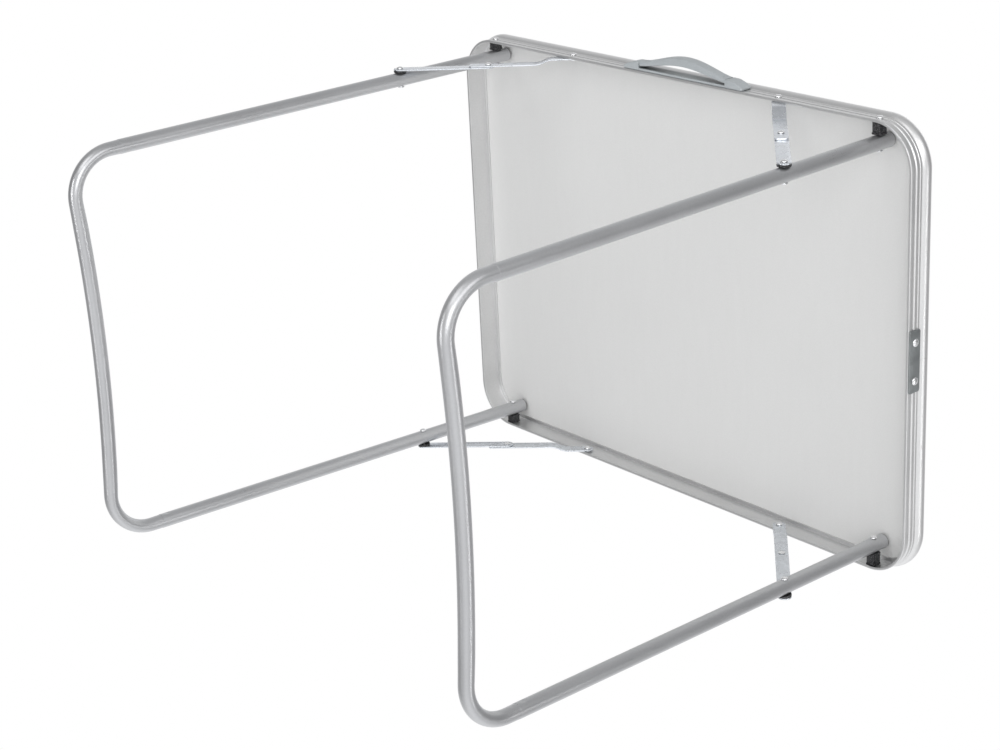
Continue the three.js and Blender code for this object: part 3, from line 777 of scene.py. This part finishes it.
# ---- Legs ----
class LegFrame:
    """Places points given out from the middle, down the leg and across its plane."""

    def __init__(self, name):
        self.name = name
        self.side = LEGS[name]["side"]
        self.taper = LEGS[name]["taper"]
        self.half_width = LEGS[name]["half_width"]
        joint = next(j for j in frame["joints"] if j["name"] == f"{name}_leg_fold")
        self.pivot = (Vector(joint["pos_m"]) - ORIGIN) / MM
        self.down = Vector((self.side * math.sin(SPLAY), 0, -math.cos(SPLAY)))
        self.across = Vector((math.cos(SPLAY), 0, self.side * math.sin(SPLAY)))
        self.length = (self.pivot.z - FLOOR) / math.cos(SPLAY) - TUBE_RADIUS
        self.lean = math.atan(self.taper)
        self.bend_down = self.length - BEND_RADIUS
        tangent_down = self.bend_down + BEND_RADIUS * math.sin(self.lean)
        self.bend_out = self.tube_out(tangent_down) - BEND_RADIUS * math.cos(self.lean)
        self.joint_down = tangent_down - JOINT_ABOVE_BEND

    def tube_out(self, down):
        """How far out a side tube's middle line is, so far down the leg."""
        return self.half_width - down * self.taper

    def place(self, out, down, across=0.0):
        return self.pivot + Vector((0, out, 0)) + self.down * down + self.across * across

    def ring(self, out, down, tangent, radius, dent=None, flat=0):
        """A ring round the tube; tangent is its direction as (out, down), and flat is how much
        thinner the tube is in the leg's plane, where bending has pressed it oval."""
        heading = Vector(tangent).normalized()
        normal = Vector((heading.y, -heading.x))
        points = []
        for i in range(TUBE_SIDES):
            angle = 2 * math.pi * i / TUBE_SIDES
            r = radius - (dent(angle, down) if dent else 0)
            inward = normal * (r * (1 - flat) * math.sin(angle))
            points.append(self.place(out + inward.x, down + inward.y, r * math.cos(angle)))
        return points


def pressed_dent(middle_down, side):
    """A small oval dent pressed into the tube's inner side, just above the joint."""
    def dent(angle, down):
        around = math.remainder(angle + side * math.pi / 2, 2 * math.pi) * TUBE_RADIUS
        long_share = (down - middle_down) / DENT_HALF_LONG
        wide_share = around / DENT_HALF_WIDE
        return DENT_DEEP * math.exp(-(long_share ** 2 + wide_share ** 2))

    return dent


def make_side_tube(leg, corner, side):
    """A straight tube from above the pivot to the joint, open at both ends."""
    top, bottom = -TUBE_OVERRUN, leg.joint_down - 2 * JOINT_SEAM
    dent_down = bottom - DENT_ABOVE_END
    dent = pressed_dent(dent_down, side)
    rim = TUBE_RADIUS - TUBE_SOFT
    outer = [top + TUBE_SOFT] + [leg.bend_down * share for share in (0.25, 0.5, 0.75)]
    outer += [dent_down - DENT_REACH + DENT_STEP * i for i in range(DENT_STATIONS)]
    outer.append(bottom - TUBE_SOFT)
    stations = [(top + BORE_DEPTH, TUBE_BORE), (top, TUBE_BORE), (top, rim)]
    stations += [(down, TUBE_RADIUS) for down in outer]
    stations += [(bottom, rim), (bottom, TUBE_BORE), (bottom - BORE_DEPTH, TUBE_BORE)]
    tangent = (side * -leg.taper, 1)
    rings = []
    for down, radius in stations:
        shape = dent if radius == TUBE_RADIUS else None
        rings.append(leg.ring(side * leg.tube_out(down), down, tangent, radius, shape))
    sketch = loft(rings)
    make_piece(f"{corner}_tube", sketch, TUBE_LOOK, "leg_tube", f"{corner}_side_tube")


def foot_stations(leg):
    """The foot tube's centreline from its end on the +Y side round to the other: each is (out,
    down, tangent, share of the bend's flattening)."""
    bow = 2 * math.atan(RAIL_BOW / leg.bend_out)
    rail_radius = leg.bend_out / math.sin(bow) - BEND_RADIUS
    rail_centre = leg.bend_down + (BEND_RADIUS + rail_radius) * math.cos(bow)
    half = []
    for i in range(SHOULDER_STEPS):
        down = leg.joint_down + JOINT_ABOVE_BEND * i / SHOULDER_STEPS
        pressed = PRESSED_AT_JOINT + PRESSED_GROWTH * i
        half.append((leg.tube_out(down), down, (-leg.taper, 1), pressed))
    bend_end = math.pi / 2 + bow
    for i in range(BEND_STEPS + 1):
        share = i / BEND_STEPS
        angle = leg.lean + (bend_end - leg.lean) * share
        out = leg.bend_out + BEND_RADIUS * math.cos(angle)
        down = leg.bend_down + BEND_RADIUS * math.sin(angle)
        pressed = 1 - PRESSED_LOSS * (2 * share - 1) ** 2
        half.append((out, down, (-math.sin(angle), math.cos(angle)), pressed))
    for i in range(1, RAIL_STEPS + 1):
        angle = bow * (1 - i / RAIL_STEPS)
        out = rail_radius * math.sin(angle)
        down = rail_centre - rail_radius * math.cos(angle)
        pressed = (1 - PRESSED_LOSS) * max(0, 1 - i / PRESSED_FADE_STEPS)
        half.append((out, down, (-math.cos(angle), -math.sin(angle)), pressed))
    mirrored = [(-out, down, (tx, -ty), flat) for out, down, (tx, ty), flat in reversed(half[:-1])]
    return half + mirrored


def make_foot(leg):
    """The bent foot tube, its shoulders at the joints and the spigots inside the side tubes."""
    path = foot_stations(leg)
    rings = [
        leg.ring(out, down, tangent, TUBE_RADIUS, flat=BEND_FLATTENING * share)
        for out, down, tangent, share in path
    ]

    def end_rings(side):
        start = leg.joint_down
        spots = [(-SPIGOT_LENGTH, SPIGOT_RADIUS - SPIGOT_SOFT)]
        spots += [(SPIGOT_SOFT - SPIGOT_LENGTH, SPIGOT_RADIUS), (-JOINT_SEAM, SPIGOT_RADIUS)]
        spots.append((-JOINT_SEAM, TUBE_RADIUS - SHOULDER_SOFT))
        return [
            leg.ring(side * leg.tube_out(start + d), start + d, (-leg.taper, side), radius)
            for d, radius in spots
        ]

    rings = end_rings(1) + rings + list(reversed(end_rings(-1)))
    sketch = loft(rings)
    make_piece(f"{leg.name}_foot", sketch, TUBE_LOOK, "leg_tube", f"{leg.name}_foot_tube")


def make_plug(leg, corner, side):
    """The rounded plug in the tube's upper end, above the pivot."""
    top = -TUBE_OVERRUN
    profile = [(PLUG_DEPTH, PLUG_STEM - PLUG_SOFT), (PLUG_DEPTH - PLUG_SOFT, PLUG_STEM)]
    profile += [(-GAP, PLUG_STEM), (-GAP, PLUG_RADIUS - PLUG_RIM_SOFT)]
    profile.append((-PLUG_SHOULDER, PLUG_RADIUS))
    for step in range(1, PLUG_STEPS + 1):
        angle = math.pi / 2 * step / PLUG_STEPS
        rise = PLUG_SHOULDER + PLUG_RISE * math.sin(angle)
        profile.append((-rise, PLUG_RADIUS * math.cos(angle) ** PLUG_FULLNESS))
    middle = leg.place(side * leg.tube_out(top), top)
    axis = leg.down - Vector((0, side * leg.taper, 0))
    sketch = turned(profile, middle, axis)
    make_piece(f"{corner}_plug", sketch, PLUG_LOOK, "grey_plastic", f"{corner}_end_plug")


def make_spacer(corner):
    """The black block between tube and apron, with a sunk band round its middle."""
    low, high = node_box(f"{corner}_spacer")
    middle = (low + high) / 2
    half = (high - low) / 2
    levels = [(SPACER_SOFT, half.y), (0, half.y - SPACER_SOFT)]
    levels += [(0, half.y - SPACER_BAND_EDGE), (SPACER_BAND_DEEP, half.y - SPACER_BAND_FLOOR)]
    levels = [(inset, -out) for inset, out in levels] + levels[::-1]
    soft = SPACER_CORNER
    outline = oblong(-half.x, -half.z, half.x, half.z, soft, soft, steps=4)
    rings = [
        [middle + Vector((p.x, out, p.y)) for p in shrink(outline, inset)]
        for inset, out in levels
    ]
    make_piece(f"{corner}_block", loft(rings), BLACK_LOOK, "black_plastic", f"{corner}_spacer")


def make_washer(corner):
    node = f"{corner}_leg_washer"
    low, high = node_box(node)
    radius = (high.z - low.z) / 2
    half = (high.y - low.y) / 2
    rim = radius - WASHER_SOFT
    profile = [(-half, PIN_RADIUS), (-half, rim), (WASHER_SOFT - half, radius)]
    profile += [(half - WASHER_SOFT, radius), (half, rim), (half, PIN_RADIUS)]
    sketch = turned(profile, node_middle(node), Vector((0, 1, 0)))
    make_piece(f"{corner}_washer", sketch, BLACK_LOOK, "black_plastic", node)


def make_pin(name, node, side, inner=True, outer=True, shoulder=None, head=HEAD_HEIGHT,
             crown=HEAD_CROWN):
    """A rivet along Y. Its profile runs outward from the node's inner head to its outer one, and
    its domed crowns stand a little prouder than the node's flat-sided heads."""
    low, high = node_box(node)
    half = (high.y - low.y) / 2
    profile = [(-half, 0)]
    if inner:
        profile = list(reversed(dome(head - half, -crown, HEAD_RADIUS)))
        profile.append((head - half, PIN_RADIUS))
    else:
        profile.append((-half, PIN_RADIUS))
    if shoulder:
        start, end = (out - abs(node_middle(node).y) for out in shoulder)
        profile += [(start, PIN_RADIUS), (start, SHOULDER_RADIUS)]
        profile += [(end, SHOULDER_RADIUS), (end, PIN_RADIUS)]
    if outer:
        profile.append((half - HEAD_HEIGHT, PIN_RADIUS))
        profile += dome(half - HEAD_HEIGHT, crown, HEAD_RADIUS)
    else:
        profile += [(half, PIN_RADIUS), (half, 0)]
    sketch = turned(profile, node_middle(node), Vector((0, side, 0)))
    make_piece(name, sketch, RIVET_LOOK, "zinc_steel", node)


# ---- Braces ----
def strip(start, end, side, faces, past, corner):
    """A flat link from start to end: faces are (distance along, distance out of its middle)."""
    along = end - start
    along.y = 0
    length = along.length
    along.normalize()
    across = Vector((-along.z, 0, along.x))
    half = LINK_WIDTH / 2
    tip = length + past - corner
    turns = [math.pi / 2 * i / LINK_ROUND_STEPS for i in range(LINK_ROUND_STEPS + 1)]
    stations = [(-half * math.cos(turn), half * math.sin(turn)) for turn in turns[1:]]
    bends = [x for x, _ in faces if 0 < x < length]
    steps = {round(x + shift, 3) for x in bends for shift in BEND_STATIONS}
    stations += [(x, half) for x in sorted(steps | {length / 2, length * 0.75})]
    for turn in turns[:-1]:
        reach = corner * math.cos(turn)
        stations.append((tip + corner * math.sin(turn), half - corner + reach))

    def level_at(x):
        before = faces[0]
        for point in faces[1:]:
            if x <= point[0]:
                share = max(0, min(1, (x - before[0]) / (point[0] - before[0])))
                return before[1] + (point[1] - before[1]) * share
            before = point
        return before[1]

    def out_at(x):
        """The link's middle plane, its bends softened over a few millimetres."""
        return sum(level_at(x + shift) for shift in BEND_SHIFTS) / len(BEND_SHIFTS)

    thick = LINK_THICKNESS / 2
    rings = []
    for x, wide in stations:
        soft = min(LINK_SOFT, wide * LINK_SOFT_SHARE)
        section = oblong(-wide, -thick, wide, thick, soft, soft, steps=3)
        base = Vector((start.x, side * out_at(x), start.z)) + along * x
        rings.append([base + across * p.x + Vector((0, side * p.y, 0)) for p in section])
    return loft(rings)


def make_brace(corner, side):
    start = node_middle(f"{corner}_apron_rivet")
    middle = node_middle(f"{corner}_middle_rivet")
    end = node_middle(f"{corner}_leg_rivet")

    def planes(node):
        low, high = node_box(node)
        near, far = sorted((abs(low.y), abs(high.y)))
        return near + LINK_THICKNESS / 2, far - LINK_THICKNESS / 2

    near, far = planes(f"{corner}_upper_link")
    faces = [(BEFORE_LINK, far), (JOGGLE_START, far), (JOGGLE_END, near), (PAST_LINK, near)]
    sketch = strip(start, middle, side, faces, LINK_TAIL, LINK_TAIL_CORNER)
    make_piece(f"{corner}_upper_strap", sketch, ZINC_LOOK, "zinc_steel", f"{corner}_upper_link")

    flat, _ = planes(f"{corner}_lower_link")
    faces = [(BEFORE_LINK, flat), (LOWER_LINK_STATION, flat), (PAST_LINK, flat)]
    sketch = strip(end, middle, side, faces, LINK_WIDTH / 2, LINK_WIDTH / 2)
    make_piece(f"{corner}_lower_strap", sketch, ZINC_LOOK, "zinc_steel", f"{corner}_lower_link")

    wall = HALF_WIDTH - WALL_INNER - GAP
    shoulder = (far + LINK_THICKNESS / 2 + GAP, wall)
    make_pin(f"{corner}_apron_pin", f"{corner}_apron_rivet", side, shoulder=shoulder)
    make_pin(f"{corner}_elbow_pin", f"{corner}_middle_rivet", side, inner=False)
    tail = {"head": TAIL_HEIGHT, "crown": TAIL_HEIGHT}
    make_pin(f"{corner}_elbow_tail", f"{corner}_middle_tail", side, outer=False, **tail)
    make_pin(f"{corner}_leg_pin", f"{corner}_leg_rivet", side)


def make_legs():
    for name in LEGS:
        leg = LegFrame(name)
        make_foot(leg)
        for side, end in ((-1, "front"), (1, "back")):
            corner = f"{name}_{end}"
            make_side_tube(leg, corner, side)
            make_plug(leg, corner, side)
            make_spacer(corner)
            make_washer(corner)
            make_pin(f"{corner}_hinge_pin", f"{corner}_pivot_pin", side)
            make_brace(corner, side)


# ---- Studio ----
# The camera: its place like the shapes above, the way it looks and its right hand, its lens and
# sensor in millimetres, and the range it sees in metres
CAMERA_PLACE = Vector((1702.2, -797.2, -1667))
CAMERA_FORWARD = Vector((-0.72617, 0.35351, 0.58967))
CAMERA_RIGHT = Vector((0.64335, 0.04693, 0.76413))
CAMERA_LENS = 78.91
SENSOR_WIDTH = 36
NEAREST_SEEN = 0.05
FARTHEST_SEEN = 60
FLOOR_REACH = 9
FLOOR_GLOW = 0.66

# Strength of the studio's light from each side, as the camera sees them.
SIDE_RIGHT = 0.26
SIDE_LEFT = 0.18
SIDE_UP = 0.5
SIDE_DOWN = 1.08
SIDE_FRONT = 0.84
SIDE_BEHIND = 1.0

# Each lamp's name, its direction as (right, up, back) of the camera, its distance and size in
# metres, and its power in watts
SOFTBOXES = (
    ("key", (-0.5, 0.75, 0.9), 2.6, (1.6, 1.2), 8.2),
    ("key_right", (0.6, 0.35, 0.9), 2.6, (1.6, 1.2), 8),
    ("front", (0, 0, 1), 2.4, (1.2, 1.2), 11.5),
    ("strip_left", (-0.85, -0.1, 0.42), 2.4, (0.3, 1.8), 9),
    ("strip_right", (0.85, -0.45, 0.42), 2.4, (0.3, 1.4), 4),
)

# The lamp over the table, its direction along the frame's own axes
OVERHEAD = ("overhead", Vector((-0.2, -0.2, 1)), 2.6, (1.6, 1.6), 4)


def camera_axes():
    """Right, up and back of the camera, square to each other."""
    back = -CAMERA_FORWARD.normalized()
    right = (CAMERA_RIGHT - back * CAMERA_RIGHT.dot(back)).normalized()
    return right, back.cross(right), back


def make_camera():
    right, up, back = camera_axes()
    camera = add_object("camera", bpy.data.cameras.new("camera"))
    camera.data.lens = CAMERA_LENS
    camera.data.sensor_width = SENSOR_WIDTH
    camera.data.clip_start = NEAREST_SEEN
    camera.data.clip_end = FARTHEST_SEEN
    turn = Matrix((right, up, back)).transposed().to_4x4()
    camera.matrix_world = Matrix.Translation(ORIGIN + MM * CAMERA_PLACE) @ turn
    bpy.context.scene.camera = camera


def make_softbox(name, direction, distance, size, power):
    """An area light that faces the table from a direction, at a distance in metres. Its second
    size runs upright in the picture."""
    light = bpy.data.lights.new(name, "AREA")
    light.shape = "RECTANGLE"
    light.size, light.size_y = size
    light.energy = power
    lamp = add_object(name, light)
    aim = Vector((0, ORIGIN.y, ORIGIN.z / 2))
    direction = direction.normalized()
    upright = camera_axes()[1]
    upright = (upright - direction * upright.dot(direction)).normalized()
    turn = Matrix((upright.cross(direction), upright, direction)).transposed()
    lamp.matrix_world = Matrix.Translation(aim + direction * distance) @ turn.to_4x4()
    lamp.visible_camera = False


def make_world():
    """White to the camera. To everything that reflects or is lit it is a grey studio, whose six
    sides, named as the camera sees them, have a strength each and blend into one another."""
    right, up, back = camera_axes()
    sides = [(right, SIDE_RIGHT), (-right, SIDE_LEFT), (up, SIDE_UP), (-up, SIDE_DOWN)]
    sides += [(back, SIDE_FRONT), (-back, SIDE_BEHIND)]
    world = bpy.data.worlds.new("studio")
    world.use_nodes = True
    bpy.context.scene.world = world
    tree = world.node_tree
    nodes, links = tree.nodes, tree.links
    shown = nodes["Background"]
    shown.inputs["Color"].default_value = (1, 1, 1, 1)
    lit = nodes.new("ShaderNodeBackground")
    lit.inputs["Color"].default_value = (0.985, 0.99, 1, 1)
    place = nodes.new("ShaderNodeTexCoord")
    total = 0
    for axis, strength in sides:
        facing = nodes.new("ShaderNodeVectorMath")
        facing.operation = "DOT_PRODUCT"
        facing.inputs[1].default_value = axis
        links.new(place.outputs["Generated"], facing.inputs[0])
        positive = math_node(tree, "MAXIMUM", facing.outputs["Value"], 0)
        share = math_node(tree, "MULTIPLY", positive, positive)
        total = math_node(tree, "MULTIPLY_ADD", share, strength, total)
    links.new(total, lit.inputs["Strength"])
    path = nodes.new("ShaderNodeLightPath")
    mix = nodes.new("ShaderNodeMixShader")
    links.new(path.outputs["Is Camera Ray"], mix.inputs["Fac"])
    links.new(lit.outputs["Background"], mix.inputs[1])
    links.new(shown.outputs["Background"], mix.inputs[2])
    links.new(mix.outputs["Shader"], nodes["World Output"].inputs["Surface"])


def make_floor():
    """A pale floor under the feet that glows evenly, so the lamps near it leave no bright patches.
    It is seen from above only, because the camera is below it."""
    corners = ((-1, -1), (1, -1), (1, 1), (-1, 1))
    points = [Vector((x, y, 0)) * FLOOR_REACH for x, y in corners]
    data = bpy.data.meshes.new("floor")
    data.from_pydata(points, [], [(0, 1, 2, 3)])
    look = Look("pale_floor", (0.16, 0.16, 0.16), 0.0, 1.0)
    look.tint(look.ranged(look.noise(3), 0.985, 1.01))
    look.shader.inputs["Specular IOR Level"].default_value = 0.0
    look.shader.inputs["Emission Color"].default_value = (1, 1, 1, 1)
    look.shader.inputs["Emission Strength"].default_value = FLOOR_GLOW
    geometry = look.node("ShaderNodeNewGeometry")
    clear = look.node("ShaderNodeBsdfTransparent")
    mix = look.node("ShaderNodeMixShader")
    look.links.new(geometry.outputs["Backfacing"], mix.inputs["Fac"])
    look.links.new(look.shader.outputs["BSDF"], mix.inputs[1])
    look.links.new(clear.outputs["BSDF"], mix.inputs[2])
    look.links.new(mix.outputs["Shader"], look.nodes["Material Output"].inputs["Surface"])
    data.materials.append(look.material)
    floor = add_object("floor", data)
    floor.visible_shadow = False
    floor.visible_diffuse = False
    floor.visible_glossy = False


def make_studio():
    make_camera()
    make_world()
    make_floor()
    axes = Matrix(camera_axes()).transposed()
    for name, direction, distance, size, power in SOFTBOXES:
        make_softbox(name, axes @ Vector(direction), distance, size, power)
    make_softbox(*OVERHEAD)
    bpy.context.scene.view_settings.view_transform = "Standard"


make_top()
make_splice()
make_handle()
make_legs()
make_studio()
